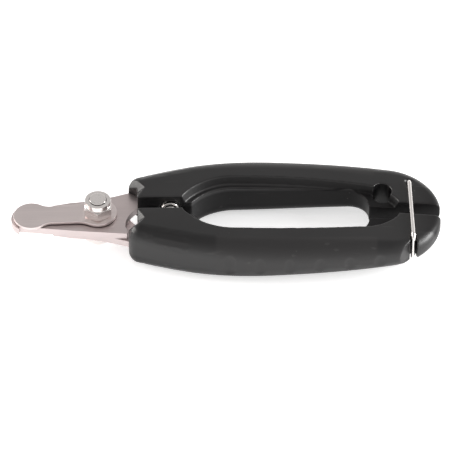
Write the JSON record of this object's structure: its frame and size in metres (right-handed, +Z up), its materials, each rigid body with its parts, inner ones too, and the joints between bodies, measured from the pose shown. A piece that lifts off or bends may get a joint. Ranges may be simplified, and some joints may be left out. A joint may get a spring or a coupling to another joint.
{
  "type": "pet nail trimmer",
  "caption": "Plier-type nail trimmer for pets: crossed steel jaws, swinging nail guard, coil spring, black plastic handles and a wire locking bail.",
  "frame": {"origin": "centre of the underside of the tool's bounding box", "axes": "+X runs from the jaws to the rear ends of the handles, +Y across the handles towards the one that carries the bail, +Z up through their thickness"},
  "size_m": [0.13, 0.042, 0.0164],
  "materials": {
    "grip_plastic": "satin",
    "blade_steel": "satin",
    "guard_steel": "satin",
    "fastener_nickel": "polished",
    "washer_steel": "satin",
    "insert_nylon": "matte",
    "spring_steel": "satin",
    "wire_steel": "polished"
  },
  "bodies": {
    "right_lever": {"right_handle": "grip_plastic", "upper_blade": "blade_steel", "pivot_bolt": "fastener_nickel", "lock_nut": "fastener_nickel", "nut_insert": "insert_nylon", "head_washer": "washer_steel", "guard_spacer": "washer_steel", "opening_spring": "spring_steel"},
    "left_lever": {"left_handle": "grip_plastic", "lower_blade": "blade_steel"},
    "guard": {"nail_guard": "guard_steel"},
    "bail": {"lock_bail": "wire_steel"}
  },
  "joints": [
    {"name": "handles_open", "type": "hinge", "parent": "right_lever", "child": "left_lever", "pos_m": [-0.0387, 0, 0.0075], "axis": [0, 0, -1], "range_deg": [0, 18], "deforming": ["opening_spring"]},
    {"name": "guard_swing", "type": "hinge", "parent": "right_lever", "child": "guard", "pos_m": [-0.0387, 0, 0.0106], "axis": [0, 0, -1], "range_deg": [0, 90]},
    {"name": "bail_swing", "type": "hinge", "parent": "right_lever", "child": "bail", "pos_m": [0.0558, 0.0112, 0.0075], "axis": [0, 0, 1], "range_deg": [0, 198]}
  ],
  "couplings": [
    {"joint": "bail_swing", "follows": "handles_open", "ratio": 11}
  ]
}
